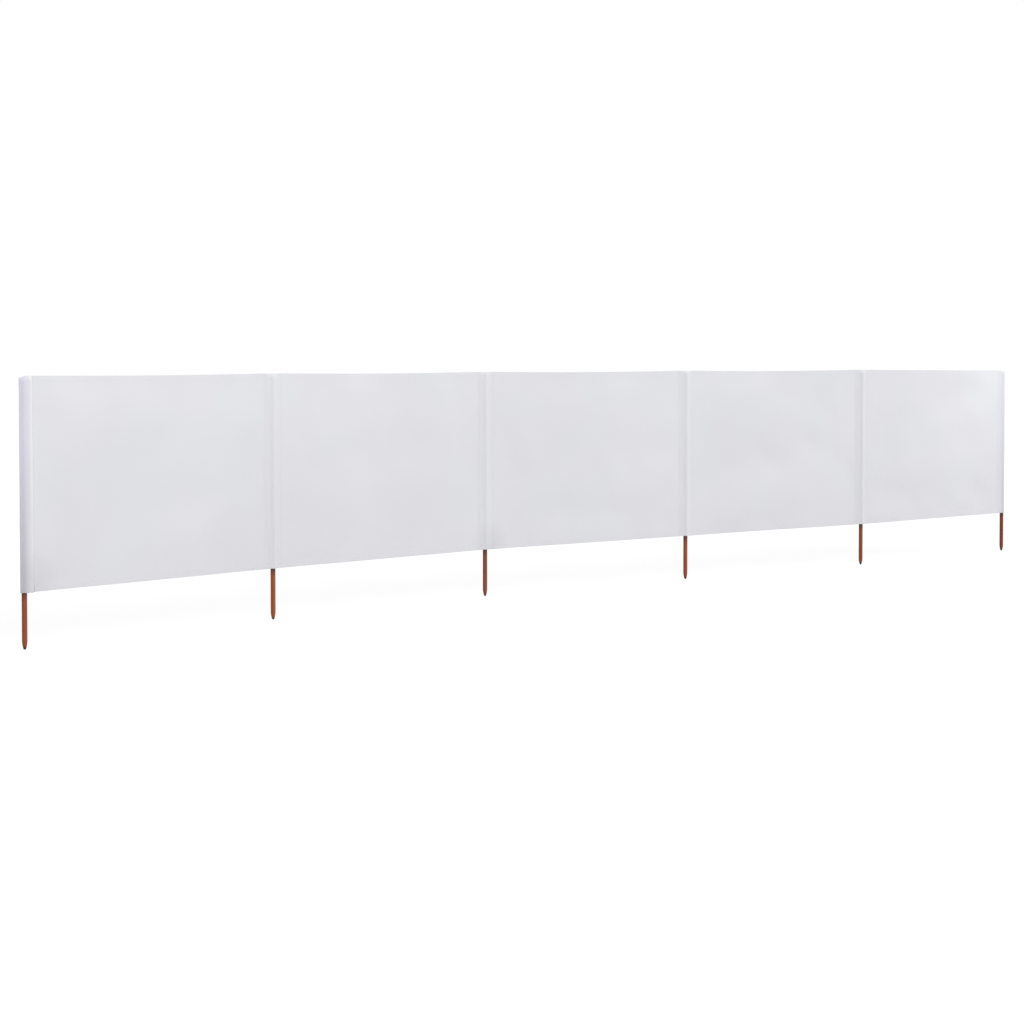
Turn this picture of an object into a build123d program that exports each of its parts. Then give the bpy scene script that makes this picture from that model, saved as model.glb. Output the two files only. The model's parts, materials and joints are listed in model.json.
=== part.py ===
from build123d import *
import os
from math import acos, degrees

# Beach windbreak: one long cloth in five bays, held up by six round stakes in sewn pockets.
# Lengths are in millimetres and angles in degrees. The first stake's tip is the origin, the run
# goes along +X, +Z is up, and the side with smooth edges faces -Y. The hems are turned to +Y.

# The run
bay_length = 1200.0                            # between the axes of neighbouring stakes
bay_headings = (6.3, 3.3, -4.3, -4.8, -0.5)    # each bay's direction, turned from +X seen from above

# Stakes
stake_diameter = 20.0
bare_foot = 210.0        # how much of a stake shows under the cloth
nose_length = 34.0       # the rounded point that goes into the sand
tip_diameter = 8.0       # the blunt end of the point
head_chamfer = 3.0
head_cover = 20.0        # how far a stake's head lies below the cloth's top edge

# Cloth
cloth_height = 800.0
cloth_thickness = 1.2
hem_width = 20.0
panel_bow = 8.0          # how far the wind side of a panel bellies out between its seams
top_dip = 4.0            # how far the top edge hangs down between two stakes

# Pockets
seam_reach = 38.0        # from a stake's axis to the seam beside it
fold_reach = 13.5        # from an end stake's axis to the loose fold where the cloth turns back
fold_radius = 3.0
seam_width = 8.0         # the flat strip where the two layers are sewn together
pocket_clearance = 0.3   # between a stake and the cloth round it
seam_gap = 0.15          # half the slit that is left where the two layers come together
top_seam = 6.0           # the solid edge that closes a pocket over the stake's head
closed_slope = 0.1       # slope of the layers away from a seam along that closed edge

cloth_bottom = bare_foot
cloth_top = cloth_bottom + cloth_height
stake_length = cloth_top - head_cover
stake_radius = stake_diameter / 2
pocket_radius = stake_radius + pocket_clearance
closed_radius = fold_radius + closed_slope * fold_reach
panel_start = seam_reach + seam_width
panel_end = bay_length - panel_start
panel_middle = bay_length / 2


def run_points():
    """The axis of each stake on the ground, one bay after the other."""
    points = [Vector(0, 0, 0)]
    for heading in bay_headings:
        points.append(points[-1] + Vector(bay_length, 0, 0).rotate(Axis.Z, heading))
    return points


def stake():
    """A round rod, turned to a rounded point below and chamfered at its head."""
    nose = TangentArc((stake_radius, nose_length), (tip_diameter / 2, 0), tangent=(0, -1))
    rest = Polyline(
        nose @ 1,
        (0, 0),
        (0, stake_length),
        (stake_radius - head_chamfer, stake_length),
        (stake_radius, stake_length - head_chamfer),
        nose @ 0,
    )
    return revolve(Plane.XZ * make_face(nose + rest), Axis.Z)


def wrapped(layers, around_stake, pegs):
    """The outline of a pocket with some layers of cloth round it, pulled tight round a stake.

    Each peg is what the cloth also goes round: its direction, its reach from the stake's axis
    and its radius.
    """
    grown = layers * cloth_thickness
    leans = [degrees(acos((around_stake - radius) / reach)) for _, reach, radius in pegs]
    arcs = []
    for number, (side, reach, radius) in enumerate(pegs):
        following = (number + 1) % len(pegs)
        turn = pegs[following][0] - side if following else pegs[0][0] + 360 - side
        centre = Vector(reach, 0, 0).rotate(Axis.Z, side)
        lean = leans[number]
        arcs.append(CenterArc(centre, radius + grown, side - lean, 2 * lean))
        round_stake = turn - lean - leans[following]
        arcs.append(CenterArc((0, 0), around_stake + grown, side + lean, round_stake))
    lines = [Line(arc @ 1, following @ 0) for arc, following in zip(arcs, arcs[1:] + arcs[:1])]
    return make_face(arcs + lines)


def filled(layers, top, pegs):
    """A pocket with everything inside it, which narrows above the stake's head up to its top."""
    shoulder = stake_length + pocket_clearance
    outline = wrapped(layers, pocket_radius, pegs)
    straight = extrude(Pos(0, 0, cloth_bottom) * outline, shoulder - cloth_bottom)
    closed_outline = wrapped(layers, closed_radius, pegs)
    closing = loft([Pos(0, 0, shoulder) * outline, Pos(0, 0, top) * closed_outline], ruled=True)
    return straight + closing


def pocket(seams, fold):
    """A pocket round a stake at the origin, with its seams and its fold, if it has one.

    Directions are turns from +X, and the pegs go round the stake counterclockwise.
    """
    pegs = [(seam, seam_reach, seam_gap) for seam in seams]
    if fold is not None:
        pegs.append((fold, fold_reach, fold_radius))
    pegs.sort()
    body = filled(1, cloth_top, pegs)
    body += extrude(Pos(0, 0, cloth_bottom) * wrapped(2, pocket_radius, pegs), hem_width)
    strip = Pos(seam_reach + seam_width / 2, 0) * Rectangle(seam_width, 2 * cloth_thickness)
    for seam in seams:
        body += extrude(Pos(0, 0, cloth_bottom) * Rot(0, 0, seam) * strip, cloth_height)
    return body - filled(0, cloth_top - top_seam, pegs)


def bowed(offset):
    """A panel's line seen from above, from seam to seam, moved back by an offset."""
    return ThreePointArc(
        (panel_start, offset), (panel_middle, offset + panel_bow), (panel_end, offset)
    )


def edge_line(height, dip):
    """An edge of the cloth seen from the front, at its height beside the stakes."""
    return ThreePointArc((panel_start, height), (panel_middle, height - dip), (panel_end, height))


def closed(first, second):
    """The face between two lines that run the same way."""
    return make_face(first + second + Line(first @ 0, second @ 0) + Line(first @ 1, second @ 1))


def cloth(front, low_edge, high_edge):
    """One thickness of cloth from a front face, between two edges seen from the front."""
    plan = closed(bowed(front), bowed(front + cloth_thickness))
    depth = panel_bow + 4 * cloth_thickness
    shape = extrude(Plane.XZ * closed(low_edge, high_edge), depth, both=True)
    return extrude(plan, cloth_top) & shape


def bay_cloth():
    """The panel of a bay and its two hems, which lie flat on the panel's back."""
    bottom = Line((panel_start, cloth_bottom), (panel_end, cloth_bottom))
    hem_line = Line(bottom @ 0 + (0, hem_width), bottom @ 1 + (0, hem_width))
    top = edge_line(cloth_top, top_dip)
    top_hem_line = edge_line(cloth_top - hem_width, top_dip)
    back = cloth_thickness / 2
    return {
        "panel": cloth(-back, bottom, top),
        "top_hem": cloth(back, top_hem_line, top),
        "bottom_hem": cloth(back, bottom, hem_line),
    }


def build():
    """Every piece of the windbreak by its name, at its place in the run."""
    pieces = {}
    points = run_points()
    one_stake = stake()
    for number, point in enumerate(points, 1):
        seams = []
        if number < len(points):
            seams.append(bay_headings[number - 1])
        if number > 1:
            seams.append(180 + bay_headings[number - 2])
        fold = seams[0] + 180 if len(seams) == 1 else None
        pieces[f"stake_{number}"] = Pos(*point) * one_stake
        pieces[f"pocket_{number}"] = Pos(*point) * pocket(seams, fold)
    for number, heading in enumerate(bay_headings, 1):
        place = Pos(*points[number - 1]) * Rot(0, 0, heading)
        for name, shape in bay_cloth().items():
            pieces[f"{name}_{number}"] = place * shape
    return pieces


os.makedirs("parts", exist_ok=True)
for name, shape in build().items():
    export_step(shape, f"parts/{name}.step")
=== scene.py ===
import json
from math import asin, atan2, cos, exp, hypot, pi, radians, sin, sqrt, tan, tanh

import bpy
from mathutils import Matrix, Vector, noise

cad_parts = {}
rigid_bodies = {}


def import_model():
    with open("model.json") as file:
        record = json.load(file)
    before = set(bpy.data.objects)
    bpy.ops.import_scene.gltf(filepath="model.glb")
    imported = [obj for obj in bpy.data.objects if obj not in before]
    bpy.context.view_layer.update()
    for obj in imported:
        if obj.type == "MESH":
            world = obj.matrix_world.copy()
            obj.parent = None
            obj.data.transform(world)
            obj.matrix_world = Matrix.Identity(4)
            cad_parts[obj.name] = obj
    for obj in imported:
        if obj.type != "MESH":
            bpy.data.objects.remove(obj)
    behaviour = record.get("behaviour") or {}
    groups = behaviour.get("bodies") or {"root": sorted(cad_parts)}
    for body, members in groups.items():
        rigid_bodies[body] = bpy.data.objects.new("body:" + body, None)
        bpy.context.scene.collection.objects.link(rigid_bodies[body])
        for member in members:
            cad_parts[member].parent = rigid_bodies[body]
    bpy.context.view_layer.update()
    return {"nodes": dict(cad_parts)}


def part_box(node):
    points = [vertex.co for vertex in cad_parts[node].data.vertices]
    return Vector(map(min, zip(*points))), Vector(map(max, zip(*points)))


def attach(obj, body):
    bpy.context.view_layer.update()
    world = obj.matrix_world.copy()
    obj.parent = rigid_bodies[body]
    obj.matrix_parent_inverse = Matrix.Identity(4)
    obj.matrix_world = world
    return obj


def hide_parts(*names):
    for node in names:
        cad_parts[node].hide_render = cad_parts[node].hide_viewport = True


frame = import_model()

bl_info = {
    "name": "Beach Windbreak",
    "version": (1, 0, 0),
    "blender": (4, 5, 0),
    "location": "3D View > Sidebar > Windbreak",
    "description": "Sews a pale cloth in five bays onto six wooden stakes",
    "category": "Add Mesh",
}

# What the frame says, in metres. The smooth side of the cloth faces -Y.
STAKES = sorted(name for name in frame["nodes"] if name.startswith("stake_"))
FEET = [sum(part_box(name), Vector()).to_2d() / 2 for name in STAKES]
BAYS = list(zip(FEET, FEET[1:]))
STAKE_LOW, STAKE_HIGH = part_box(STAKES[0])
STAKE_RADIUS = (STAKE_HIGH.x - STAKE_LOW.x) / 2
CLOTH_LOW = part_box("panel_1")[0].z
CLOTH_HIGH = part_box("pocket_1")[1].z
BODY = "root"


class WindbreakStake(bpy.types.PropertyGroup):
    """The turned and stained stakes."""

    tip_radius: bpy.props.FloatProperty(
        name="Tip radius", description="Radius of the blunt end of the point",
        default=0.004, subtype="DISTANCE", precision=4,
    )
    nose_length: bpy.props.FloatProperty(
        name="Nose length", description="Length of the rounded point",
        default=0.034, subtype="DISTANCE", precision=4,
    )
    nose_steps: bpy.props.IntProperty(
        name="Nose steps", description="Rings that round the point", default=10, min=3,
    )
    sides: bpy.props.IntProperty(
        name="Sides", description="Faces round a stake", default=32, min=12,
    )
    head_chamfer: bpy.props.FloatProperty(
        name="Head chamfer", description="Width of the chamfer round the head",
        default=0.003, subtype="DISTANCE", precision=4,
    )
    stain: bpy.props.FloatVectorProperty(
        name="Stain", description="Colour of the stained wood",
        default=(0.320, 0.075, 0.025), subtype="COLOR", size=3, min=0, max=1,
    )
    grain: bpy.props.FloatVectorProperty(
        name="Grain", description="Colour of the dark streaks of the grain",
        default=(0.150, 0.038, 0.016), subtype="COLOR", size=3, min=0, max=1,
    )
    dull: bpy.props.FloatVectorProperty(
        name="Dull", description="Colour of the stakes that took the stain less well",
        default=(0.180, 0.078, 0.038), subtype="COLOR", size=3, min=0, max=1,
    )


class WindbreakCloth(bpy.types.PropertyGroup):
    """The woven cloth, its pockets and its hems."""

    thickness: bpy.props.FloatProperty(
        name="Thickness", description="Thickness of one layer of the cloth",
        default=0.0007, subtype="DISTANCE", precision=4,
    )
    seam_reach: bpy.props.FloatProperty(
        name="Seam reach", description="From a stake's axis to the seam beside it",
        default=0.038, subtype="DISTANCE", precision=4,
    )
    seam_width: bpy.props.FloatProperty(
        name="Seam width", description="Width of the flat strip that is sewn down",
        default=0.008, subtype="DISTANCE", precision=4,
    )
    lap: bpy.props.FloatProperty(
        name="Lap", description="How far the back of a pocket reaches over the panel beside it",
        default=0.001, subtype="DISTANCE", precision=4,
    )
    hem_width: bpy.props.FloatProperty(
        name="Hem width", description="How far an edge is turned over",
        default=0.020, subtype="DISTANCE", precision=4,
    )
    bow: bpy.props.FloatProperty(
        name="Bow", description="How far a panel bellies out between its seams",
        default=0.008, subtype="DISTANCE", precision=4,
    )
    dip: bpy.props.FloatProperty(
        name="Dip", description="How far the top edge hangs down between two stakes",
        default=0.004, subtype="DISTANCE", precision=4,
    )
    slack: bpy.props.FloatProperty(
        name="Slack", description="Share by which a panel is longer than its bay",
        default=0.0035, subtype="FACTOR", min=0, max=0.02, precision=4,
    )
    fold: bpy.props.FloatProperty(
        name="Fold", description="Depth of the broad soft folds across a panel",
        default=0.006, subtype="DISTANCE", precision=4,
    )
    freedom: bpy.props.FloatProperty(
        name="Freedom", description="How far a fold may stand off the panel's own bow",
        default=0.009, subtype="DISTANCE", precision=4,
    )
    crease: bpy.props.FloatProperty(
        name="Crease", description="Depth of the creases beside a stake",
        default=0.0009, subtype="DISTANCE", precision=4,
    )
    sag: bpy.props.FloatProperty(
        name="Sag", description="Share by which a pocket's free span hangs nearer to its seam",
        default=0.34, subtype="FACTOR", min=0, max=0.5,
    )
    first_drop: bpy.props.FloatProperty(
        name="First drop", description="How far the top edge hangs down beside the first stake",
        default=0.001, subtype="DISTANCE", precision=4,
    )
    last_drop: bpy.props.FloatProperty(
        name="Last drop", description="How far the top edge hangs down beside the last stake",
        default=0.007, subtype="DISTANCE", precision=4,
    )
    droop: bpy.props.FloatProperty(
        name="Droop", description="How much lower the outer top corners hang",
        default=0.006, subtype="DISTANCE", precision=4,
    )
    white: bpy.props.FloatVectorProperty(
        name="White", description="Colour of the cloth",
        default=(0.775, 0.789, 0.820), subtype="COLOR", size=3, min=0, max=1,
    )
    blush: bpy.props.FloatVectorProperty(
        name="Blush", description="Colour of the cloth in its faint violet patches",
        default=(0.790, 0.782, 0.820), subtype="COLOR", size=3, min=0, max=1,
    )
    # besides the greyer patches, this colour is mixed in as painted shade towards the cloth's lower
    # edge
    shade: bpy.props.FloatVectorProperty(
        name="Shade", description="Colour of the cloth where it is a little greyer",
        default=(0.672, 0.662, 0.704), subtype="COLOR", size=3, min=0, max=1,
    )
    yarn: bpy.props.FloatProperty(
        name="Yarn", description="Pitch of the weave",
        default=0.0005, subtype="DISTANCE", precision=5,
    )


class WindbreakSewing(bpy.types.PropertyGroup):
    """The stitches that hold the cloth together."""

    pitch: bpy.props.FloatProperty(
        name="Pitch", description="From one stitch to the next",
        default=0.0045, subtype="DISTANCE", precision=4,
    )
    length: bpy.props.FloatProperty(
        name="Length", description="Length of one stitch",
        default=0.0037, subtype="DISTANCE", precision=4,
    )
    radius: bpy.props.FloatProperty(
        name="Radius", description="Half the thickness of the thread",
        default=0.00032, subtype="DISTANCE", precision=5,
    )
    thread: bpy.props.FloatVectorProperty(
        name="Thread", description="Colour of the thread",
        default=(0.795, 0.800, 0.830), subtype="COLOR", size=3, min=0, max=1,
    )


class WindbreakStage(bpy.types.PropertyGroup):
    """The floor, the studio light and the camera."""

    place: bpy.props.FloatVectorProperty(
        name="Camera", description="Place of the camera",
        default=(-3.6477, -6.9523, 1.0818), subtype="TRANSLATION", size=3,
    )
    heading: bpy.props.FloatProperty(
        name="Heading", description="Turn of the camera from straight at the cloth",
        default=radians(-40.915), subtype="ANGLE",
    )
    lens: bpy.props.FloatProperty(
        name="Lens", description="Focal length in millimetres on a 36 mm sensor",
        default=73.17, unit="CAMERA",
    )
    pitch: bpy.props.FloatProperty(
        name="Pitch", description="How far the camera looks down",
        default=radians(2.0), subtype="ANGLE",
    )
    rise: bpy.props.FloatProperty(
        name="Rise", description="Shift that keeps upright lines upright, as a share of the frame",
        default=-0.0814,
    )
    sky: bpy.props.FloatProperty(
        name="Sky", description="Strength of the even light from all sides", default=0.67,
    )
    key: bpy.props.FloatProperty(
        name="Key", description="Strength of the broad lamp in front of the smooth side",
        default=0.467,
    )
    key_turn: bpy.props.FloatProperty(
        name="Key turn", default=radians(18), subtype="ANGLE",
        description="How far the broad lamp stands to the right of the cloth's front",
    )
    far_end: bpy.props.FloatProperty(
        name="Far end", description="Power of the small lamp that brightens the far upper corner",
        default=0.7, unit="POWER",
    )
    glow: bpy.props.FloatProperty(
        name="Glow", description="Strength of the floor's own white in the camera's sight",
        default=1.07,
    )
    floor: bpy.props.FloatVectorProperty(
        name="Floor", description="Colour of the floor",
        default=(0.62, 0.62, 0.62), subtype="COLOR", size=3, min=0, max=1,
    )


SETTINGS = {
    "windbreak_stake": WindbreakStake,
    "windbreak_cloth": WindbreakCloth,
    "windbreak_sewing": WindbreakSewing,
    "windbreak_stage": WindbreakStage,
}


# Common steps

def only(*pieces):
    """Selects these pieces and nothing else, the first of them active."""
    bpy.ops.object.select_all(action="DESELECT")
    for piece in pieces:
        piece.select_set(True)
    bpy.context.view_layer.objects.active = pieces[0]


def named(piece, name):
    """Names a piece and its mesh."""
    piece.name = name
    piece.data.name = name
    return piece


def applied(piece, kind, **settings):
    """Adds a modifier to a piece and applies it."""
    only(piece)
    modifier = piece.modifiers.new(kind.title(), kind)
    for name, value in settings.items():
        setattr(modifier, name, value)
    bpy.ops.object.modifier_apply(modifier=modifier.name)
    return piece


def joined(name, pieces):
    """One piece made of several."""
    only(*pieces)
    if len(pieces) > 1:
        bpy.ops.object.join()
    return named(bpy.context.object, name)


def set_down(piece, turn, place):
    """Turns a piece about the upright axis and moves it, with its object left at the origin."""
    only(piece)
    piece.matrix_world = Matrix.Translation(place) @ Matrix.Rotation(turn, 4, "Z")
    bpy.ops.object.transform_apply(location=True, rotation=True, scale=True)
    return piece


def finished(piece, slot, material, *nodes):
    """Gives a piece its material, hangs it on the body and hides the nodes of the frame that it stands
    for.
    """
    piece.data.materials.clear()
    piece.data.materials.append(material)
    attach(piece, BODY)
    if nodes:
        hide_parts(*nodes)
    return piece


def smooth_step(value, low, high):
    """From 0 at low to 1 at high, with soft ends."""
    share = min(max((value - low) / (high - low), 0), 1)
    return share * share * (3 - 2 * share)


def ripple(seed, across, up, deep=0.0):
    """Even noise between about -1 and 1 at a place."""
    return noise.noise(Vector((across + seed * 7.3, up + seed * 3.1, deep + seed * 5.7)))


def between(low, high, count):
    """Evenly spaced values from low to high."""
    return [low + (high - low) * number / (count - 1) for number in range(count)]


def cut_cloth(name, across, up, place):
    """A grid of cloth whose map keeps its flat size, with each of its points moved to its place."""
    wide, high = len(across) - 1, len(up) - 1
    bpy.ops.object.select_all(action="DESELECT")
    bpy.ops.mesh.primitive_grid_add(x_subdivisions=wide, y_subdivisions=high, size=1)
    piece = named(bpy.context.object, name)
    cells = [
        (round((point.co.x + 0.5) * wide), round((point.co.y + 0.5) * high))
        for point in piece.data.vertices
    ]
    flat = piece.data.uv_layers.active.data
    for corner in piece.data.loops:
        column, row = cells[corner.vertex_index]
        flat[corner.index].uv = across[column], up[row]
    for point, (column, row) in zip(piece.data.vertices, cells):
        point.co = place(column, row)
    return piece


# Materials

# Colours of the painted shade, the painted highlight, the painted shadow on the stakes and the wet sand
# at their tips
CORNER_SHADE = (0.30, 0.29, 0.29, 1)
FOLD_SHADE_BLUE = (0.735, 0.713, 0.840, 1)
FOLD_SHADE_GREY = (0.40, 0.39, 0.42, 1)
CREST_HIGHLIGHT = (0.90, 0.89, 0.93, 1)
POCKET_SHADOW = (0.085, 0.036, 0.030, 1)
WET_SAND = (0.034, 0.025, 0.021, 1)

# Where those places are
CORNER_SHADE_CENTRE = 0.03       # from a stake's axis, and up from the cloth's lower edge
FIRST_CREST = 0.0275     # from the first stake's axis to where its pocket stands out most
SHADOW_START, SHADOW_END = 0.032, 0.006     # below the cloth, where the pocket's shadow is painted on the wood
WET_START, WET_END = 0.006, 0.014       # above the tip, where wet sand has soiled it


def add(tree, kind, inputs=(), **settings):
    """Adds a shader node, with its settings and what goes into it."""
    made = tree.nodes.new("ShaderNode" + kind)
    for name, value in settings.items():
        setattr(made, name, value)
    for name, value in dict(inputs).items():
        if isinstance(value, bpy.types.NodeSocket):
            tree.links.new(value, made.inputs[name])
        else:
            made.inputs[name].default_value = value
    return made


def blank_material(name):
    """A material with nothing in it yet."""
    material = bpy.data.materials.new(name)
    material.use_nodes = True
    material.node_tree.nodes.clear()
    return material


def rgba(colour, level=1.0):
    """A colour with its alpha, made lighter or darker."""
    return (*(channel * level for channel in colour), 1)


def ranged(tree, value, low, high, to_low=0.0, to_high=1.0):
    """A value from one range moved to another."""
    inputs = {"Value": value, "From Min": low, "From Max": high, "To Min": to_low, "To Max": to_high}
    return add(tree, "MapRange", inputs).outputs["Result"]


def mixed(tree, share, first, second):
    """Two colours mixed by a share."""
    inputs = {"Fac": share, "Color1": first, "Color2": second}
    return add(tree, "MixRGB", inputs).outputs["Color"]


def reckoned(tree, operation, *values):
    """What one step of arithmetic makes of values."""
    return add(tree, "Math", dict(enumerate(values)), operation=operation).outputs["Value"]


def clouds(tree, places, scale, detail):
    """Soft noise between 0 and 1."""
    inputs = {"Vector": places, "Scale": scale, "Detail": detail}
    return add(tree, "TexNoise", inputs).outputs["Fac"]


def raised(tree, height, strength, distance, **inputs):
    """The normal of a surface that a height raises."""
    inputs.update({"Height": height, "Strength": strength, "Distance": distance})
    return add(tree, "Bump", inputs).outputs["Normal"]


def surface(tree, colour, roughness, normal, **values):
    """The shader of a surface. The values go straight into its sockets."""
    inputs = {"Base Color": colour, "Roughness": roughness, "Normal": normal, **values}
    shader = add(tree, "BsdfPrincipled", inputs)
    add(tree, "OutputMaterial", {"Surface": shader.outputs["BSDF"]})


def painted_corner_shade(tree, places, colour):
    """Cloth with painted shade low beside the first and the third stake."""
    for foot, reach, amount in ((FEET[0], 0.13, 0.16), (FEET[2], 0.11, 0.13)):
        centre = foot.to_3d() + Vector((CORNER_SHADE_CENTRE, 0, CLOTH_LOW + CORNER_SHADE_CENTRE))
        away = add(tree, "VectorMath", {0: places, 1: centre}, operation="DISTANCE").outputs["Value"]
        # painted shade, darkest low at the corner beside the stake
        colour = mixed(tree, ranged(tree, away, reach, 0.02, 0.0, amount), colour, CORNER_SHADE)
    return colour


def painted_fold_shade_and_crest_highlight(tree, places, colour):
    """Cloth with painted shade at its two end folds, bluish higher up and grey lower down, and a
    painted highlight along its first pocket's crest.
    """
    axes = add(tree, "SeparateXYZ", {"Vector": places}).outputs
    # painted shade on the end folds: a bluish tint higher up, greyer and darker towards the bottom
    shade_tint_share = ranged(tree, axes["Z"], 0.24, 0.62, 0.15, 0.75)
    shade_grey_share = ranged(tree, axes["Z"], 0.80, 0.28, 0.0, 0.48)
    for foot, inner, outer in ((FEET[0], 0.022, -0.004), (FEET[-1], -0.018, 0.010)):
        fold = ranged(tree, axes["X"], foot.x + inner, foot.x + outer)
        colour = mixed(tree, reckoned(tree, "MULTIPLY", fold, shade_tint_share), colour, FOLD_SHADE_BLUE)
        colour = mixed(tree, reckoned(tree, "MULTIPLY", fold, shade_grey_share), colour, FOLD_SHADE_GREY)
    # painted highlight along the first pocket's crest
    from_crest = reckoned(tree, "SUBTRACT", axes["X"], FIRST_CREST)
    crest = ranged(tree, reckoned(tree, "ABSOLUTE", from_crest), 0.008, 0.002, 0.0, 0.5)
    highlight_band = ranged(tree, axes["Z"], 0.30, 0.62)
    return mixed(tree, reckoned(tree, "MULTIPLY", crest, highlight_band), colour, CREST_HIGHLIGHT)


def cloth_material(name, cloth, level):
    """Plain-woven polyester with soft creases, a little greyer in patches, and with painted shade
    towards its lower edge.
    """
    material = blank_material(name)
    tree = material.node_tree
    coordinates = add(tree, "TexCoord").outputs
    flat, places = coordinates["UV"], coordinates["Object"]
    yarns = 1 / cloth.yarn
    bands = pi / 10 * yarns     # the scale at which a wave has one band to each yarn
    warp = add(tree, "TexWave", {"Vector": flat, "Scale": bands}, bands_direction="X")
    weft = add(tree, "TexWave", {"Vector": flat, "Scale": bands}, bands_direction="Y")
    over = add(tree, "TexChecker", {"Vector": flat, "Scale": yarns})
    weave = mixed(tree, over.outputs["Fac"], warp.outputs["Color"], weft.outputs["Color"])
    patch = clouds(tree, places, 1.7, 3.0)
    violet = ranged(tree, clouds(tree, places, 2.6, 1.0), 0.42, 0.60)
    clean = mixed(tree, violet, rgba(cloth.white, level), rgba(cloth.blush, level))
    height = add(tree, "SeparateXYZ", {"Vector": places}).outputs["Z"]
    # painted shade: the cloth darkens towards its lower edge
    low = ranged(tree, height, CLOTH_LOW, CLOTH_HIGH, 0.45, 0.0)
    patches_and_low_shade = reckoned(tree, "ADD", low, ranged(tree, patch, 0.42, 0.62, 0.0, 0.16))
    even = mixed(tree, patches_and_low_shade, clean, rgba(cloth.shade, level))
    gaps = ranged(tree, weave, 0.0, 0.35, 0.18, 0.0)
    woven = mixed(tree, gaps, even, rgba(cloth.shade, 0.82 * level))
    colour = painted_fold_shade_and_crest_highlight(tree, places, painted_corner_shade(tree, places, woven))
    rough = ranged(tree, patch, 0.3, 0.7, 0.66, 0.78)
    creased = raised(tree, clouds(tree, places, 16.0, 4.0), 0.2, 0.0010)
    normal = raised(tree, weave, 0.5, 0.00014, Normal=creased)
    sheen = {"Sheen Weight": 0.12, "Sheen Roughness": 0.5, "Specular IOR Level": 0.3}
    surface(tree, colour, rough, normal, **sheen)
    return material


def each_in_its_tone(tree, stake, along_run, colour):
    """The second stake lighter, the third and the fifth duller and the last one darker."""
    light, dull, dark = rgba(stake.stain, 1.25), rgba(stake.dull), rgba(stake.grain)
    for foot, tone, share in (
        (FEET[1], light, 0.6), (FEET[2], dull, 0.6), (FEET[4], dull, 0.5), (FEET[5], dark, 0.5),
    ):
        here = reckoned(tree, "COMPARE", along_run, foot.x, 2 * STAKE_RADIUS)
        colour = mixed(tree, reckoned(tree, "MULTIPLY", here, share), colour, tone)
    return colour


def wood_material(stake):
    """Stained wood with its grain along the stake, with a painted shadow under the cloth, and soiled at
    the tip.
    """
    material = blank_material("stained_wood")
    tree = material.node_tree
    places = add(tree, "TexCoord").outputs["Object"]
    long_grain = add(tree, "Mapping", {"Vector": places, "Scale": (130.0, 130.0, 2.6)})
    fine_grain = add(tree, "Mapping", {"Vector": places, "Scale": (900.0, 900.0, 22.0)})
    streaks = clouds(tree, long_grain.outputs["Vector"], 1.0, 5.0)
    pores = clouds(tree, fine_grain.outputs["Vector"], 1.0, 3.0)
    dark = ranged(tree, streaks, 0.48, 0.68, 0.0, 0.75)
    stained = mixed(tree, dark, rgba(stake.stain), rgba(stake.grain))
    dry = ranged(tree, clouds(tree, places, 5.0, 2.0), 0.45, 0.75, 0.0, 0.45)
    faded = mixed(tree, dry, stained, rgba(stake.stain, 1.3))
    pitted = ranged(tree, pores, 0.55, 0.70, 0.0, 0.5)
    grained = mixed(tree, pitted, faded, rgba(stake.grain, 0.8))
    axes = add(tree, "SeparateXYZ", {"Vector": places}).outputs
    toned = each_in_its_tone(tree, stake, axes["X"], grained)
    # painted shadow that the pocket casts on the stake just under the cloth
    pocket_shadow_share = ranged(tree, axes["Z"], CLOTH_LOW - SHADOW_START, CLOTH_LOW - SHADOW_END, 0.0, 0.78)
    shadowed = mixed(tree, pocket_shadow_share, toned, POCKET_SHADOW)
    sandy = ranged(tree, axes["Z"], WET_START, WET_END, 0.85, 0.0)
    colour = mixed(tree, sandy, shadowed, WET_SAND)
    rough = ranged(tree, streaks, 0.3, 0.7, 0.48, 0.66)
    surface(tree, colour, rough, raised(tree, pores, 0.5, 0.0003), **{"Specular IOR Level": 0.25})
    return material


def thread_material(sewing):
    """Twisted polyester thread."""
    material = blank_material("sewing_thread")
    tree = material.node_tree
    places = add(tree, "TexCoord").outputs["Object"]
    inputs = {"Vector": places, "Scale": 700.0, "Distortion": 1.0}
    twist = add(tree, "TexWave", inputs, bands_direction="DIAGONAL").outputs["Fac"]
    share = ranged(tree, twist, 0.0, 1.0, 0.0, 0.5)
    colour = mixed(tree, share, rgba(sewing.thread), rgba(sewing.thread, 0.82))
    surface(tree, colour, 0.5, raised(tree, twist, 0.3, 0.0001), **{"Sheen Weight": 0.1})
    return material


def direct_rays(tree):
    """1 for a ray from the camera, a mirror or a glass, and 0 for any other."""
    rays = add(tree, "LightPath").outputs
    first = reckoned(tree, "MAXIMUM", rays["Is Camera Ray"], rays["Is Glossy Ray"])
    return reckoned(tree, "MAXIMUM", first, rays["Is Transmission Ray"])


def seamless_white(name, colour, share, glow_strength):
    """A floor that looks white from the camera and in reflections, and still keeps a shadow."""
    material = blank_material(name)
    tree = material.node_tree
    plain = add(tree, "BsdfDiffuse", {"Color": rgba(colour)})
    seen = add(tree, "BsdfDiffuse", {"Color": (0.95, 0.95, 0.95, 1)})
    glow = add(tree, "Emission", {"Color": (1, 1, 1, 1), "Strength": glow_strength})
    white = add(tree, "MixShader", {"Fac": share, 1: seen.outputs["BSDF"], 2: glow.outputs["Emission"]})
    inputs = {"Fac": direct_rays(tree), 1: plain.outputs["BSDF"], 2: white.outputs["Shader"]}
    choice = add(tree, "MixShader", inputs)
    add(tree, "OutputMaterial", {"Surface": choice.outputs["Shader"]})
    return material


# Stakes

EDGE_ROUNDING = 0.0006


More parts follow.
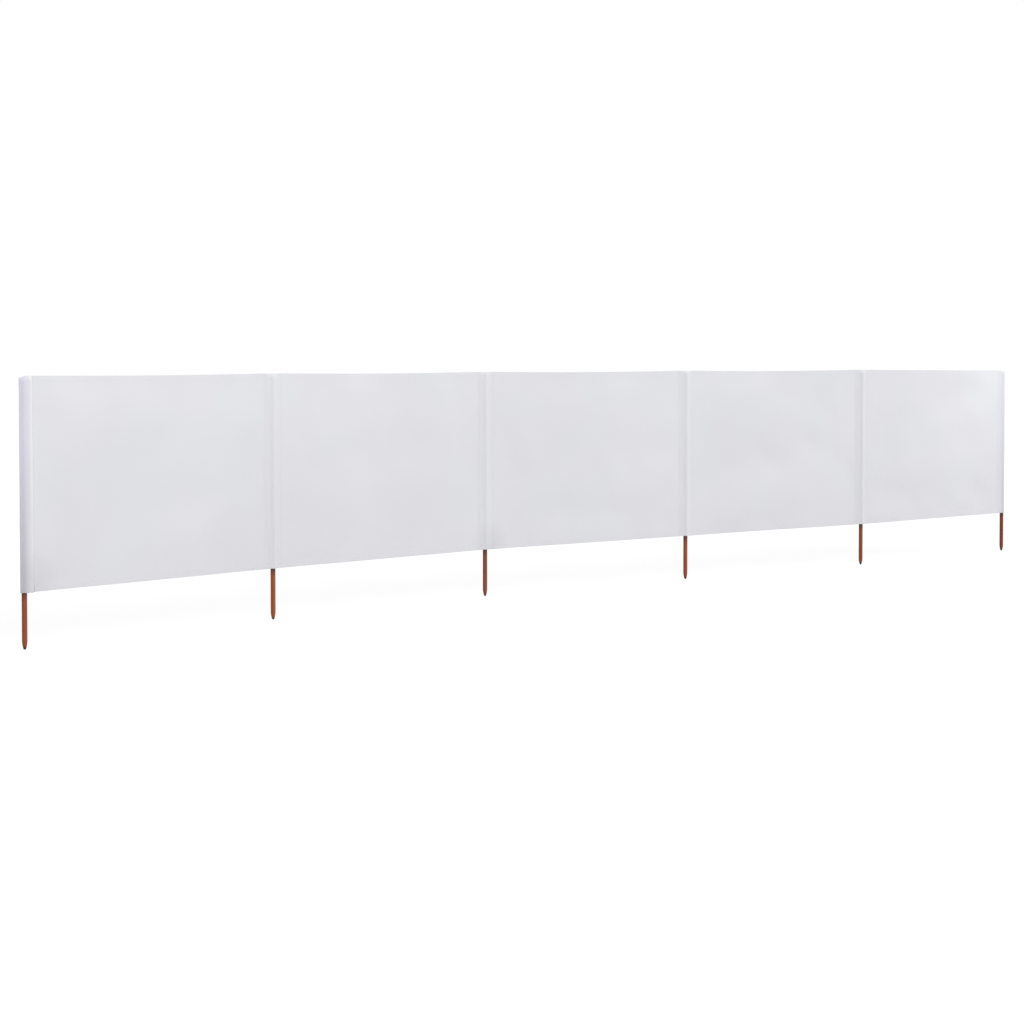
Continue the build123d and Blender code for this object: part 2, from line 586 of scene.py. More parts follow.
def turned_stake(stake, name, foot):
    """A rod drawn up ring by ring from its blunt tip, round its nose and up to its chamfered head."""
    steps = stake.nose_steps
    drop = STAKE_RADIUS - stake.tip_radius
    bend = (stake.nose_length ** 2 + drop ** 2) / (2 * drop)
    sweep = asin(stake.nose_length / bend)
    rings = []
    for number in range(1, steps + 1):
        lean = sweep * (1 - number / steps)
        radius = STAKE_RADIUS - bend * (1 - cos(lean))
        rings.append((stake.nose_length - bend * sin(lean), radius))
    rings.append((STAKE_HIGH.z - stake.head_chamfer, STAKE_RADIUS))
    rings.append((STAKE_HIGH.z, STAKE_RADIUS - stake.head_chamfer))
    bpy.ops.object.select_all(action="DESELECT")
    bpy.ops.mesh.primitive_circle_add(
        vertices=stake.sides, radius=stake.tip_radius, fill_type="NGON", location=(*foot, 0)
    )
    piece = named(bpy.context.object, name)
    bpy.ops.object.transform_apply(location=True, rotation=True, scale=True)
    bpy.ops.object.mode_set(mode="EDIT")
    height, radius = 0.0, stake.tip_radius
    for next_height, next_radius in rings:
        rise = (0, 0, next_height - height)
        bpy.ops.mesh.extrude_region_move(TRANSFORM_OT_translate={"value": rise})
        factor = next_radius / radius
        bpy.ops.transform.resize(value=(factor, factor, 1), center_override=(*foot, next_height))
        height, radius = next_height, next_radius
    bpy.ops.mesh.inset(thickness=radius / 2)
    bpy.ops.mesh.select_all(action="SELECT")
    bpy.ops.mesh.normals_make_consistent(inside=False)
    bpy.ops.object.mode_set(mode="OBJECT")
    applied(
        piece, "BEVEL", width=EDGE_ROUNDING, segments=2, limit_method="ANGLE",
        angle_limit=radians(40),
    )
    only(piece)
    bpy.ops.object.shade_smooth_by_angle(angle=radians(35))
    return piece


# Cloth

# The simulated drape: a light, supple cloth that soon comes to rest
DRAPE_FRAMES = 30
DRAPE = {
    "quality": 8, "mass": 0.004,
    "tension_stiffness": 12, "compression_stiffness": 12,
    "shear_stiffness": 4, "bending_stiffness": 4,
    "tension_damping": 5, "compression_damping": 5,
    "bending_damping": 1, "air_damping": 2,
}
SMOOTHINGS = 14              # how often the settled panel is evened out

# How finely the sheets are divided: a hem's flat part, a pocket's mouth and its long shaft
PANEL_COLUMNS, PANEL_ROWS = 41, 25
HEM_COLUMNS, HEM_STEPS = 161, 6
MOUTH_STEPS, SHAFT_STEPS = 16, 88

# Panels
FULL_FOLDS = 0.2             # from a stake's axis to where the broad folds have their full depth
FOLDS_ALONG, FOLDS_UP = 1.3, 6.0     # about how many of them go to a metre
FOLD_SLOPE = 0.12            # how steeply they run up along the bay
EDGE_PUCKER, SEAM_PUCKER = 0.0007, 0.0008
PUCKER_FADE = 0.03           # from an edge or a seam, where a pucker has lost most of its depth
RAY_MARGIN = 0.0003          # keeps the rays that find the panel off its edges

# Pockets
CLOTH_STANDOFF = 0.0011      # from the stake to the middle of the cloth round it
SEAM_BEND = 0.0028           # how softly a loose layer turns into the seam
SEAM_PRESS = 0.00004         # how much nearer the two layers are pressed there
FREE_START, FREE_FULL = 0.008, 0.018        # from a stake's axis, where a layer comes free of it
SEAM_EASE = 0.008            # from the seam line back to where a layer starts to lie still
STRIP_PUCKER = 0.0002
SAG_BEFORE = 0.6             # the share of a pocket's sag that its side before the stake has
LAST_DROOP = 0.6             # the share of the first corner's droop that the last one has
PANEL_ROOM, HEM_ROOM = 1.1, 2.2             # thicknesses by which the back layer stands further off
DENT_DEPTH, DENT_WIDTH = 0.0007, 0.0013     # the groove that a row of stitches pulls in
MOUTH_FLARE, FLARE_HEIGHT = 0.12, 0.05      # how much wider a mouth is, and from how high up
CLOSING_START = 0.003        # from a stake's head down to where its pocket starts to close
DROOP_HEIGHT = 0.10          # how far down from its top an end pocket droops

# Points chosen for the cloth round the end stakes: along the run, then off it
FIRST_TURN = [(-0.0058, -0.0108), (-0.0101, -0.0088), (-0.0130, -0.0049), (-0.0153, -0.0017)]
FIRST_FRONT = [
    (-0.0167, 0.0004), (-0.0153, 0.0022), (-0.0123, 0.0045), (-0.0076, 0.0083),
    (-0.0020, 0.0124), (0.0060, 0.0151), (0.0150, 0.0168), (0.0240, 0.0174),
    (0.0298, 0.0160), (0.0345, 0.0085),
]
LAST_TURN = [
    (-0.0080, -0.0098), (-0.0145, -0.0058), (-0.0172, 0.0), (-0.0145, 0.0062), (-0.0080, 0.0106),
]


def run_of(bay):
    """The way from a bay's first stake to its second."""
    start, end = bay
    return end - start


def heading_of(bay):
    """The turn of a bay from +X."""
    run = run_of(bay)
    return atan2(run.y, run.x)


def margin_of(cloth):
    """From a stake's axis to the end of the panel beside it."""
    return cloth.seam_reach + cloth.seam_width


def arched(cloth, along, length):
    """From 0 at both ends of a panel to 1 in its middle, at a distance along its bay."""
    margin = margin_of(cloth)
    share = min(max((along - margin) / (length - 2 * margin), 0), 1)
    return 4 * share * (1 - share)


def bowed(cloth, along, length):
    """How far a panel stands back at a distance along its bay."""
    return cloth.bow * arched(cloth, along, length)


def end_drop(cloth, number, along, length):
    """How far the top edge of the first or the last bay hangs down towards its outer end."""
    margin = margin_of(cloth)
    if number == 1:
        return cloth.first_drop * (1 - smooth_step(along, margin, 0.35))
    if number == len(BAYS):
        return cloth.last_drop * (1 - smooth_step(length - along, margin, 0.75))
    return 0


def edge_drop(cloth, number, along, length):
    """How far the top edge of a bay hangs down at a distance along it."""
    return cloth.dip * arched(cloth, along, length) + end_drop(cloth, number, along, length)


def draped(piece, pinned, slack):
    """Lets the cloth settle under its own weight between its sewn ends."""
    sewn = piece.vertex_groups.new(name="sewn")
    sewn.add(pinned, 1.0, "REPLACE")
    only(piece)
    modifier = piece.modifiers.new("Drape", "CLOTH")
    settings = modifier.settings
    for name, value in DRAPE.items():
        setattr(settings, name, value)
    settings.vertex_group_mass = sewn.name
    settings.shrink_min = -slack
    settings.shrink_max = -slack
    modifier.collision_settings.use_collision = False
    modifier.point_cache.frame_start = 1
    modifier.point_cache.frame_end = DRAPE_FRAMES
    scene = bpy.context.scene
    for number in range(1, DRAPE_FRAMES + 1):
        scene.frame_set(number)
    bpy.ops.object.modifier_apply(modifier=modifier.name)
    scene.frame_set(1)
    piece.vertex_groups.clear()
    return piece


def hung_panel(cloth, number, bay):
    """A panel in its bay's own frame, along +X from its first stake, with soft folds."""
    length = run_of(bay).length
    margin = margin_of(cloth)
    fold = cloth.thickness
    height = CLOTH_HIGH - CLOTH_LOW - 2 * fold
    across = between(margin, length - margin, PANEL_COLUMNS)
    up = between(0, height, PANEL_ROWS)

    def flat_place(column, row):
        along, share = across[column], up[row] / height
        level = CLOTH_LOW + fold + up[row] - share * edge_drop(cloth, number, along, length)
        ease = smooth_step(along, margin, FULL_FOLDS)
        ease *= smooth_step(length - along, margin, FULL_FOLDS)
        wave = ripple(number, along * FOLDS_ALONG, (level - FOLD_SLOPE * along) * FOLDS_UP)
        return along, bowed(cloth, along, length) + cloth.fold * ease * wave, level

    piece = cut_cloth(f"panel_sheet_{number}", across, up, flat_place)
    still = [tuple(point.co) for point in piece.data.vertices]
    pinned = [
        point.index for point in piece.data.vertices
        if not across[1] < point.co.x < across[-2]
    ]
    draped(piece, pinned, cloth.slack)
    applied(piece, "SMOOTH", factor=0.5, iterations=SMOOTHINGS)
    for point, (along, _, level) in zip(piece.data.vertices, still):
        base = bowed(cloth, along, length)
        off = cloth.freedom * tanh((point.co.y - base) / cloth.freedom)
        off *= smooth_step(min(along - margin, length - margin - along), 0, 0.03)
        point.co = along, base + off, level
    applied(piece, "SUBSURF", levels=2, render_levels=2, boundary_smooth="PRESERVE_CORNERS")
    for point in piece.data.vertices:
        along, _, level = point.co
        from_edge = min(CLOTH_HIGH - level, level - CLOTH_LOW)
        from_seam = min(along - margin, length - margin - along)
        edge_wave = ripple(number + 10, along * 26, 0.5)
        seam_wave = ripple(number + 20, level * 24, 0.5)
        pucker = EDGE_PUCKER * exp(-from_edge / PUCKER_FADE) * edge_wave
        pucker += SEAM_PUCKER * exp(-from_seam / PUCKER_FADE) * seam_wave
        point.co.y += pucker * smooth_step(from_seam, 0, 0.006)
    return piece


def hem_strip(cloth, number, bay, panel, top):
    """The turned-over edge of a panel: round its fold, then flat on its back."""
    length = run_of(bay).length
    margin = margin_of(cloth)
    fold = cloth.thickness
    across = between(margin, length - margin, HEM_COLUMNS)
    turns = [pi * fold * share / 4 for share in range(4)]
    flat = between(0, cloth.hem_width - fold, HEM_STEPS)
    up = turns + [pi * fold + distance for distance in flat]
    way = 1 if top else -1
    edge = CLOTH_HIGH - fold if top else CLOTH_LOW + fold

    def place(column, row):
        along = across[column]
        drop = edge_drop(cloth, number, along, length) if top else 0
        line = edge - drop
        turn = min(up[row] / fold, pi)
        down = max(up[row] - pi * fold, 0)
        level = line + way * (fold * sin(turn) - down)
        sampled = min(max(level, CLOTH_LOW + fold), line) - way * 0.0002
        inner = min(max(along, margin + RAY_MARGIN), length - margin - RAY_MARGIN)
        hit, met, _, _ = panel.ray_cast((inner, -1, sampled), (0, 1, 0))
        back = met.y if hit else bowed(cloth, along, length)
        wrinkle = max(ripple(number + 30, along * 40, down * 60), 0) * min(down / 0.01, 1)
        return along, back + fold * (1 - cos(turn)) + 0.0003 * wrinkle, level

    piece = cut_cloth(f"{'top' if top else 'bottom'}_hem_sheet_{number}", across, up, place)
    if not top:
        piece.data.flip_normals()
    return piece


def thickened(cloth, piece):
    """Gives a sheet its thickness, half to each side."""
    applied(piece, "SOLIDIFY", thickness=cloth.thickness, offset=0, use_even_offset=True)
    only(piece)
    bpy.ops.object.shade_smooth_by_angle(angle=radians(60))
    return piece


def loose_layer(cloth, reach):
    """How far a layer stands off the seam line, at a distance from the stake's axis."""
    round_stake = STAKE_RADIUS + CLOTH_STANDOFF
    lean = asin(round_stake / cloth.seam_reach)
    if reach < round_stake * sin(lean):
        return sqrt(round_stake ** 2 - reach ** 2)
    past = cloth.seam_reach - reach
    return (past + hypot(past, SEAM_BEND)) / 2 * tan(lean) - SEAM_PRESS


def spread(cloth, fine):
    """Distances from the stake's axis to the seam strip's edge, closer together near the stake."""
    return [margin_of(cloth) * (number / fine) ** 1.25 for number in range(fine + 1)]


def middle_sections(cloth):
    """The front and back layers of a pocket between two bays, as places along the run and off it."""
    half = [(reach, loose_layer(cloth, reach)) for reach in spread(cloth, 20)]
    front = [(-reach, off) for reach, off in reversed(half)] + half[1:]
    back = [(reach, -off) for reach, off in reversed(front)]
    back[0] = back[0][0] + cloth.lap, back[0][1]
    back[-1] = back[-1][0] - cloth.lap, back[-1][1]
    return [front, back]


def rounded(points, fine):
    """A smooth line through points."""
    line = []
    padded = [points[0]] + points + [points[-1]]
    for first, second, third, fourth in zip(padded, padded[1:], padded[2:], padded[3:]):
        for number in range(fine):
            t = number / fine
            line.append(tuple(
                0.5 * (
                    2 * b + (c - a) * t + (2 * a - 5 * b + 4 * c - d) * t * t
                    + (3 * b - a - 3 * c + d) * t * t * t
                )
                for a, b, c, d in zip(first, second, third, fourth)
            ))
    return line + [points[-1]]


def end_section(cloth, first):
    """The cloth round an end stake, from the back of its seam round its loose fold to the front."""
    back = [(reach, -loose_layer(cloth, reach)) for reach in reversed(spread(cloth, 10))]
    back[0] = back[0][0] + cloth.lap, back[0][1]
    if first:
        strip = [(cloth.seam_reach + 0.001, 0.0005), (margin_of(cloth), 0.0001)]
        return rounded(back + FIRST_TURN + FIRST_FRONT + strip, 2)
    front = [(reach, loose_layer(cloth, reach)) for reach in spread(cloth, 10)]
    return [(-reach, off) for reach, off in reversed(rounded(back + LAST_TURN + front, 2))]


def pocket_rows(cloth):
    """Each row of a pocket from its turned-in mouth to its closed top: height, inset and swell."""
    fold = cloth.thickness
    inside = [(CLOTH_LOW + cloth.hem_width - 0.002 - step * 0.004, 2 * fold) for step in range(4)]
    round_fold = ((0.0012, 1.8), (0.0004, 1.0), (0.0010, 0.1))
    turn = [(CLOTH_LOW + level, layers * fold) for level, layers in round_fold]
    mouth = [(CLOTH_LOW + level, 0.0) for level in between(0.0025, 0.0250, MOUTH_STEPS) + [0.029]]
    levels = between(CLOTH_LOW + 0.035, STAKE_HIGH.z - 0.012, SHAFT_STEPS)
    shaft = [(level, 0.0) for level in levels]
    near_head = (-0.007, -0.003, 0.001, 0.005, 0.009, 0.0125, 0.0155, 0.0178, 0.0192)
    top = [(STAKE_HIGH.z + level, 0.0) for level in near_head] + [(CLOTH_HIGH, 0.0)]
    rows = []
    for level, inset in inside + turn + mouth + shaft + top:
        flare = 1 + MOUTH_FLARE * (1 - smooth_step(level, CLOTH_LOW, CLOTH_LOW + FLARE_HEIGHT))
        over = max(level - STAKE_HIGH.z + CLOSING_START, 0)
        over /= CLOTH_HIGH - STAKE_HIGH.z + CLOSING_START
        rows.append((level, inset, flare * sqrt(max(1 - over ** 3.0, 0.0))))
    return rows


def mouth_rows(cloth, number):
    """The heights of the rows of stitches round the mouth of a pocket."""
    highest = cloth.hem_width - HEM_ROW
    rows = (0.004, 0.0105, highest) if number in (1, len(FEET)) else (highest,)
    return [CLOTH_LOW + level for level in rows]


def ways_from(number):
    """The directions from a stake to the stakes before and after it."""
    foot = FEET[number - 1]
    before = (FEET[number - 2] - foot).normalized() if number > 1 else None
    after = (FEET[number] - foot).normalized() if number < len(FEET) else None
    return before, after


def run_beside(number, reach):
    """The direction of the run at a distance past a stake's axis."""
    before, after = ways_from(number)
    if before is None:
        return after
    if after is None:
        return -before
    return (-before).lerp(after, smooth_step(reach, -STAKE_RADIUS, STAKE_RADIUS)).normalized()


def travelled(points):
    """How far each point lies along the line through all of them."""
    steps = [hypot(b[0] - a[0], b[1] - a[1]) for a, b in zip(points, points[1:])]
    return [sum(steps[:number]) for number in range(len(points))]


def inward_of(section, column):
    """The way from a section's outer face towards the stake, at one of its points."""
    first = section[max(column - 1, 0)]
    last = section[min(column + 1, len(section) - 1)]
    along, off = last[0] - first[0], last[1] - first[1]
    long = hypot(along, off)
    inward = off / long, -along / long
    reach, stand = section[column]
    outside = inward[0] * reach + inward[1] * stand > 0
    return (-inward[0], -inward[1]) if outside else inward


def sewn_layer(cloth, number, section, edge=0, droop=0):
    """One sheet of a pocket, along a section seen from above, with creases on its free spans."""
    rows = pocket_rows(cloth)
    first = number == 1
    hem_top = CLOTH_LOW + cloth.hem_width
    sewn_rows = mouth_rows(cloth, number)
    inwards = [inward_of(section, column) for column in range(len(section))]

    def place(column, row):
        reach, off = section[column]
        level, inset, swell = rows[row]
        run = run_beside(number, reach)
        normal = Vector((run.y, -run.x))
        side = 1 if off > 0 else -1
        far = abs(reach)
        loose = smooth_step(cloth.seam_reach - far, 0, SEAM_EASE)
        free = smooth_step(far, FREE_START, FREE_FULL) * loose
        sewn = smooth_step(far, cloth.seam_reach - SEAM_EASE, cloth.seam_reach)
        span = pi * min(max((far - 0.004) / (cloth.seam_reach - 0.004), 0), 1)
        tight = 1 if first else 1 - cloth.sag * sin(span) * (1 if reach > 0 else SAG_BEFORE)
        crease = ripple(number + 3 * side, reach * 90, level * 7 + reach * 20)
        crease += 0.5 * ripple(number + 5, reach * 160, level * 26, side)
        hemmed = 1 - smooth_step(level, hem_top, hem_top + 0.012)
        behind = cloth.thickness * (PANEL_ROOM + HEM_ROOM * hemmed) if side < 0 else 0
        stand = abs(off) * swell * tight + cloth.crease * free * crease
        stand += behind * smooth_step(far, FREE_FULL, cloth.seam_reach)
        stand += STRIP_PUCKER * sewn * ripple(number + 40, level * 70, reach * 30)
        dent = sum(exp(-((level - height) / DENT_WIDTH) ** 2) for height in sewn_rows)
        stand -= DENT_DEPTH * (1 - sewn) * dent
        pushed = inset * (1 - 0.45 * sewn)
        reach += pushed * inwards[column][0]
        stand = side * stand + pushed * inwards[column][1]
        outward = -reach if first else reach
        hang = edge + droop * smooth_step(outward, -0.02, 0.018)
        level -= hang * smooth_step(level, CLOTH_HIGH - DROOP_HEIGHT, CLOTH_HIGH)
        plan = FEET[number - 1] + reach * run + stand * normal
        return plan.x, plan.y, level

    return cut_cloth("layer", travelled(section), travelled(rows), place)


def pocket_piece(cloth, number):
    """The pocket round one stake, and the flat size of the cloth it is made of."""
    if number == 1:
        sections = [end_section(cloth, True)]
        layers = [sewn_layer(cloth, number, sections[0], cloth.first_drop, cloth.droop)]
    elif number == len(FEET):
        sections = [end_section(cloth, False)]
        droop = LAST_DROOP * cloth.droop
        layers = [sewn_layer(cloth, number, sections[0], cloth.last_drop, droop)]
    else:
        sections = middle_sections(cloth)
        layers = [sewn_layer(cloth, number, section) for section in sections]
    for layer in layers:
        thickened(cloth, layer)
    width = sum(travelled(section)[-1] for section in sections)
    return joined(f"pocket_sheet_{number}", layers), (width, travelled(pocket_rows(cloth))[-1])


# Sewing

LAID_FROM = 0.05                # how far off the cloth a line starts, before it is laid on
LINE_STEP = 0.004               # between the points of a straight line
HEM_POINTS = 221                # of the line along a hem
THREAD_LIFT = 0.0001            # from the cloth to the middle of the thread
SEAM_ROWS = (0.0022, 0.0058)    # from the seam line to the two rows of stitches beside it
ROW_END = 0.004                 # from the cloth's upper or lower edge to the end of such a row
BAR_THREADS = (0, 0.0008, 0.0016)     # the height of each thread of a lock bar
HEM_ROW = 0.003                 # from a hem's inner edge to the row that holds it
TOP_ROW = 0.0035                # from the cloth's top edge down to the row that closes a pocket
CORNER_END = 0.076              # from an end stake's axis to the end of the short rows beside it
BACK_START, FRONT_START = -0.010, -0.005     # from that axis to where the rows round a mouth start


def one_stitch(sewing, length):
    """A short bar of thread along +X, thin at both ends."""
    bpy.ops.object.select_all(action="DESELECT")
    bpy.ops.mesh.primitive_uv_sphere_add(
        segments=5, ring_count=3, radius=sewing.radius, rotation=(0, pi / 2, 0)
    )
    piece = bpy.context.object
    bpy.ops.object.transform_apply(location=False, rotation=True, scale=False)
    piece.scale.x = length / (2 * sewing.radius)
    piece.location.x = length / 2
    bpy.ops.object.transform_apply(location=True, rotation=False, scale=True)
    bpy.ops.object.shade_smooth()
    return piece


def laid_line(points, cloth_piece, forward):
    """A curve through points, laid on the cloth from one side."""
    away = Vector((0, -LAID_FROM if forward else LAID_FROM, 0))
    bpy.ops.object.select_all(action="DESELECT")
    bpy.ops.mesh.primitive_grid_add(x_subdivisions=len(points) - 1, y_subdivisions=1, size=1)
    line = bpy.context.object
    bpy.ops.object.mode_set(mode="EDIT")
    bpy.ops.mesh.select_all(action="DESELECT")
    bpy.ops.object.mode_set(mode="OBJECT")
    for point in line.data.vertices:
        number = round((point.co.x + 0.5) * (len(points) - 1))
        point.select = point.co.y > 0
        point.co = points[number] + away
    bpy.ops.object.mode_set(mode="EDIT")
    bpy.ops.mesh.delete(type="VERT")
    bpy.ops.object.mode_set(mode="OBJECT")
    applied(
        line, "SHRINKWRAP", target=cloth_piece, wrap_method="PROJECT", use_project_x=False,
        use_project_y=True, use_project_z=False, use_negative_direction=not forward,
        use_positive_direction=forward, offset=THREAD_LIFT,
    )
    only(line)
    bpy.ops.object.convert(target="CURVE")
    return bpy.context.object


def straight(start, end):
    """Points a few millimetres apart from one point to another."""
    count = max(int((end - start).length / LINE_STEP), 6)
    return [start.lerp(end, number / count) for number in range(count + 1)]


def stitch_row(sewing, points, cloth_piece, forward):
    """A row of stitches through points on the cloth, put in from the front or from the back."""
    line = laid_line(points, cloth_piece, forward)
    reach = (points[-1] - points[0]).length
    if reach < 3 * sewing.pitch:
        row = one_stitch(sewing, reach)
    else:
        row = one_stitch(sewing, sewing.length)
        applied(
            row, "ARRAY", fit_type="FIT_CURVE", curve=line,
            use_relative_offset=False, use_constant_offset=True,
            constant_offset_displace=(sewing.pitch, 0, 0),
        )
    applied(row, "CURVE", object=line, deform_axis="POS_X")
    bpy.data.objects.remove(line)
    return row


def both_sides(sewing, points, cloth_piece):
    """A row of stitches that shows on the front and on the back of a cloth."""
    return [stitch_row(sewing, points, cloth_piece, forward) for forward in (True, False)]


def spot(number, way, reach, level):
    """A place beside a stake, at a height."""
    return (FEET[number - 1] + way * reach).to_3d() + Vector((0, 0, level))


def seam_stitches(cloth, sewing, number, way, top):
    """Two upright rows beside a stake and the bars that lock them."""
    pocket = bpy.data.objects[f"pocket_sheet_{number}"]
    rows = []
    for beside in SEAM_ROWS:
        reach = cloth.seam_reach + beside
        start = spot(number, way, reach, CLOTH_LOW + ROW_END)
        end = spot(number, way, reach, top)
        rows += both_sides(sewing, straight(start, end), pocket)
    near, far = cloth.seam_reach + 0.0006, margin_of(cloth) - 0.0004
    for level in (CLOTH_LOW + 0.0024, CLOTH_LOW + cloth.hem_width, top - 0.010):
        for rise in BAR_THREADS:
            start, end = spot(number, way, near, level + rise), spot(number, way, far, level + rise)
            rows += both_sides(sewing, straight(start, end), pocket)
    return rows


def cross_stitches(cloth, sewing, number):
    """The rows round the mouth and along the top of a pocket between two bays."""
    pocket = bpy.data.objects[f"pocket_sheet_{number}"]
    before, after = ways_from(number)
    rows = []
    for level in (*mouth_rows(cloth, number), CLOTH_HIGH - TOP_ROW):
        start = spot(number, before, cloth.seam_reach, level)
        end = spot(number, after, cloth.seam_reach, level)
        rows += both_sides(sewing, straight(start, end), pocket)
    return rows


def corner_stitches(cloth, sewing, number):
    """The rows round an end pocket's mouth, and two short ones that run on into the panel."""
    pocket = bpy.data.objects[f"pocket_sheet_{number}"]
    panel = bpy.data.objects[f"panel_sheet_{min(number, len(BAYS))}"]
    before, after = ways_from(number)
    way = after or before
    levels = mouth_rows(cloth, number)
    mouth = levels[-1]
    start, end = spot(number, way, BACK_START, mouth), spot(number, way, cloth.seam_reach, mouth)
    rows = [stitch_row(sewing, straight(start, end), pocket, False)]
    for level in levels:
        start = spot(number, way, FRONT_START, level)
        end = spot(number, way, cloth.seam_reach, level)
        rows.append(stitch_row(sewing, straight(start, end), pocket, True))
        if level < mouth:
            start = spot(number, way, margin_of(cloth) + 0.0005, level)
            end = spot(number, way, CORNER_END, level)
            rows.append(stitch_row(sewing, straight(start, end), panel, True))
    return rows


def pocket_stitches(cloth, sewing, number):
    """All the rows that hold a pocket."""
    ends = {1: cloth.first_drop, len(FEET): cloth.last_drop}
    top = CLOTH_HIGH - ROW_END - ends.get(number, 0)
    rows = []
    for way in ways_from(number):
        if way:
            rows += seam_stitches(cloth, sewing, number, way, top)
    if number in ends:
        return rows + corner_stitches(cloth, sewing, number)
    return rows + cross_stitches(cloth, sewing, number)


def hem_stitches(cloth, sewing, number):
    """The rows that hold down the two turned edges of a bay's panel."""
    run = run_of(BAYS[number - 1])
    way, length = run.normalized(), run.length
    edge = margin_of(cloth) + 0.001
    panel = bpy.data.objects[f"panel_sheet_{number}"]
    high, low = [], []
    for along in between(edge, length - edge, HEM_POINTS):
        drop = edge_drop(cloth, number, along, length)
        high.append(spot(number, way, along, CLOTH_HIGH - cloth.hem_width + HEM_ROW - drop))
        low.append(spot(number, way, along, CLOTH_LOW + cloth.hem_width - HEM_ROW))
    rows = []
    for edge_name, line in (("top", high), ("bottom", low)):
        hem = bpy.data.objects[f"{edge_name}_hem_sheet_{number}"]
        rows += [stitch_row(sewing, line, panel, True), stitch_row(sewing, line, hem, False)]
    return rows


# Places on the stage
FLOOR_SIZE, FLOOR_MIDDLE = 120, (2.5, 0, 0)
FLOOR_SHARE = 0.80           # how much of the floor that the camera sees is its own white
KEY_PLACE, KEY_LEAN = (4, -4, 5), radians(56)
FAR_LAMP, FAR_CORNER = Vector((6.15, -0.45, 1.25)), Vector((5.85, 0, 0.90))
SENSOR_WIDTH = 36            # in millimetres


# Operators

class WINDBREAK_OT_stakes(bpy.types.Operator):
    """Turns the wooden stakes"""

    bl_idname = "windbreak.stakes"
    bl_label = "Stakes"

    def execute(self, context):
        stake = context.scene.windbreak_stake
        wood = wood_material(stake)
        for number, (name, foot) in enumerate(zip(STAKES, FEET), 1):
            piece = turned_stake(stake, f"turned_stake_{number}", foot)
            finished(piece, "stake_wood", wood, name)
        return {"FINISHED"}


class WINDBREAK_OT_panels(bpy.types.Operator):
    """Hangs a panel in each bay and turns its edges over"""

    bl_idname = "windbreak.panels"
    bl_label = "Panels and hems"

    def execute(self, context):
        cloth = context.scene.windbreak_cloth
        fabric = cloth_material("woven_panel", cloth, 1.0)
        hem_fabric = cloth_material("woven_hem", cloth, 0.985)
        for number, bay in enumerate(BAYS, 1):
            panel = hung_panel(cloth, number, bay)
            top = hem_strip(cloth, number, bay, panel, True)
            bottom = hem_strip(cloth, number, bay, panel, False)
            for piece in (panel, top, bottom):
                thickened(cloth, piece)
                set_down(piece, heading_of(bay), bay[0].to_3d())
            finished(panel, "panel_cloth", fabric, f"panel_{number}")
            finished(top, "hem_cloth", hem_fabric, f"top_hem_{number}")
            finished(bottom, "hem_cloth", hem_fabric, f"bottom_hem_{number}")
            width = run_of(bay).length - 2 * margin_of(cloth)
        return {"FINISHED"}


class WINDBREAK_OT_pockets(bpy.types.Operator):
    """Sews a pocket round each stake"""

    bl_idname = "windbreak.pockets"
    bl_label = "Pockets"

    def execute(self, context):
        cloth = context.scene.windbreak_cloth
        fabric = cloth_material("woven_pocket", cloth, 0.995)
        for number in range(1, len(FEET) + 1):
            piece, flat = pocket_piece(cloth, number)
            finished(piece, "pocket_cloth", fabric, f"pocket_{number}")
        return {"FINISHED"}


class WINDBREAK_OT_sewing(bpy.types.Operator):
    """Sews the seams, the mouths and the tops of the pockets, and the hems"""

    bl_idname = "windbreak.sewing"
    bl_label = "Sewing"

    def execute(self, context):
        cloth = context.scene.windbreak_cloth
        sewing = context.scene.windbreak_sewing
        thread = thread_material(sewing)
        for number in range(1, len(FEET) + 1):
            piece = joined(f"seam_stitches_{number}", pocket_stitches(cloth, sewing, number))
            finished(piece, "pocket_cloth", thread)
        for number in range(1, len(BAYS) + 1):
            piece = joined(f"hem_stitches_{number}", hem_stitches(cloth, sewing, number))
            finished(piece, "hem_cloth", thread)
        return {"FINISHED"}


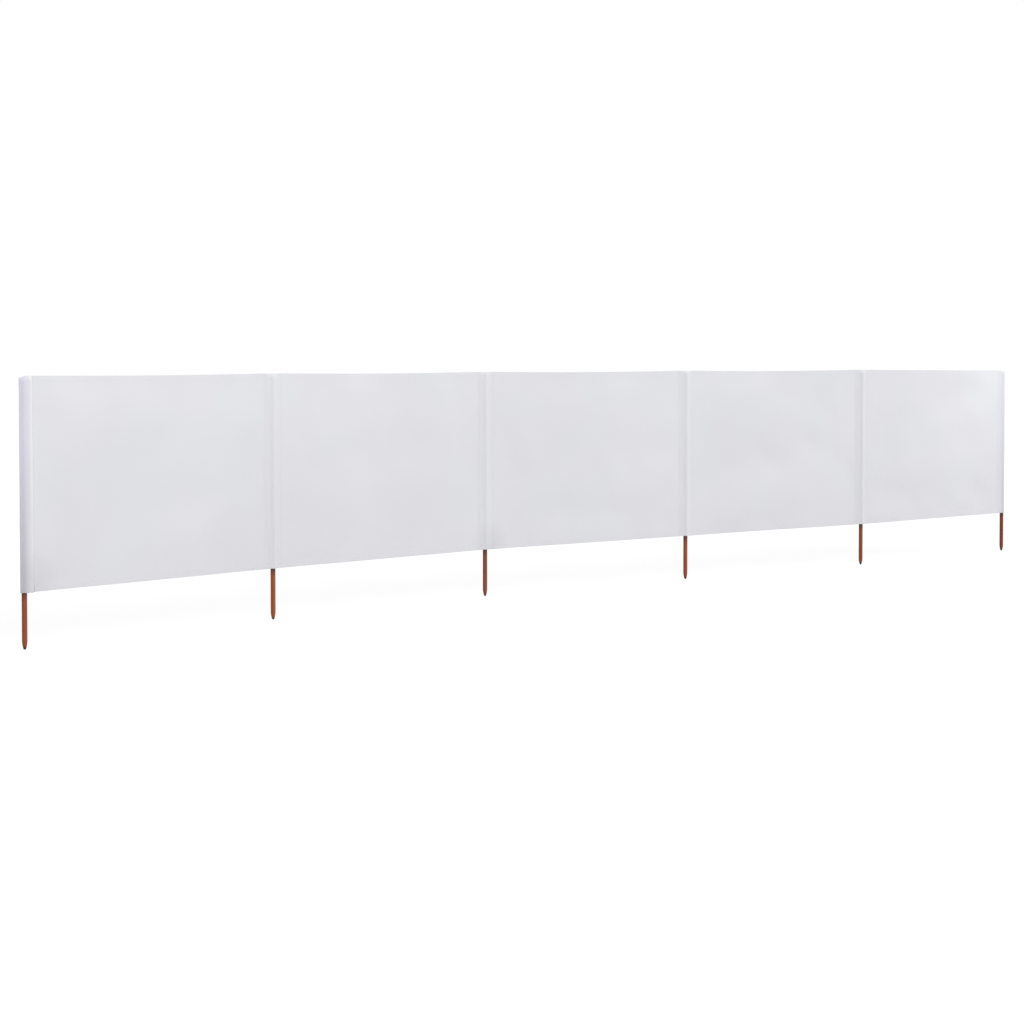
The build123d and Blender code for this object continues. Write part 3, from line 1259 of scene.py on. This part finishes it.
class WINDBREAK_OT_stage(bpy.types.Operator):
    """Sets up the floor, the studio light and the camera"""

    bl_idname = "windbreak.stage"
    bl_label = "Stage"

    def execute(self, context):
        stage = context.scene.windbreak_stage
        scene = context.scene
        bpy.ops.object.select_all(action="DESELECT")
        bpy.ops.mesh.primitive_plane_add(size=FLOOR_SIZE, location=FLOOR_MIDDLE)
        floor = named(bpy.context.object, "floor")
        bpy.ops.object.transform_apply(location=True, rotation=True, scale=True)
        white = seamless_white("studio_floor", stage.floor, FLOOR_SHARE, stage.glow)
        floor.data.materials.append(white)

        world = bpy.data.worlds.new("studio")
        world.use_nodes = True
        tree = world.node_tree
        tree.nodes.clear()
        seen = direct_rays(tree)
        strength = ranged(tree, seen, 0.0, 1.0, stage.sky, 1.0)
        sky = add(tree, "Background", {"Color": (1, 1, 1, 1), "Strength": strength})
        add(tree, "OutputWorld", {"Surface": sky.outputs["Background"]})
        scene.world = world

        bpy.ops.object.light_add(
            type="SUN", location=KEY_PLACE, rotation=(KEY_LEAN, 0, stage.key_turn)
        )
        key = bpy.context.object
        key.name = "key"
        key.data.energy = stage.key * pi
        key.data.angle = radians(50)

        bpy.ops.object.light_add(type="AREA", location=FAR_LAMP)
        lamp = bpy.context.object
        lamp.name = "far_end"
        lamp.rotation_euler = (FAR_CORNER - lamp.location).to_track_quat("-Z", "Y").to_euler()
        lamp.data.size = 0.4
        lamp.data.energy = stage.far_end
        lamp.visible_camera = False

        turn = pi / 2 - stage.pitch, 0, stage.heading
        bpy.ops.object.camera_add(location=stage.place, rotation=turn)
        camera = bpy.context.object
        camera.data.lens = stage.lens
        camera.data.sensor_width = SENSOR_WIDTH
        camera.data.shift_y = stage.rise
        scene.camera = camera

        scene.view_settings.view_transform = "Standard"
        return {"FINISHED"}


class WINDBREAK_PT_sidebar(bpy.types.Panel):
    """Lists the steps that make the windbreak"""

    bl_idname = "WINDBREAK_PT_sidebar"
    bl_label = "Windbreak"
    bl_space_type = "VIEW_3D"
    bl_region_type = "UI"
    bl_category = "Windbreak"

    def draw(self, context):
        for step in STEPS:
            self.layout.operator(step.bl_idname)
        for name, group in SETTINGS.items():
            box = self.layout.box()
            for setting in group.__annotations__:
                box.prop(getattr(context.scene, name), setting)


STEPS = (
    WINDBREAK_OT_stage,
    WINDBREAK_OT_stakes,
    WINDBREAK_OT_panels,
    WINDBREAK_OT_pockets,
    WINDBREAK_OT_sewing,
)
CLASSES = (*SETTINGS.values(), *STEPS, WINDBREAK_PT_sidebar)


def register():
    """Adds the settings, the steps and the panel to Blender."""
    for kind in CLASSES:
        bpy.utils.register_class(kind)
    for name, group in SETTINGS.items():
        setattr(bpy.types.Scene, name, bpy.props.PointerProperty(type=group))


def unregister():
    """Takes them out again."""
    for name in SETTINGS:
        delattr(bpy.types.Scene, name)
    for kind in reversed(CLASSES):
        bpy.utils.unregister_class(kind)


def main():
    """Makes the whole windbreak."""
    register()
    bpy.ops.windbreak.stage()
    bpy.ops.windbreak.stakes()
    bpy.ops.windbreak.panels()
    bpy.ops.windbreak.pockets()
    bpy.ops.windbreak.sewing()


if __name__ == "__main__":
    main()
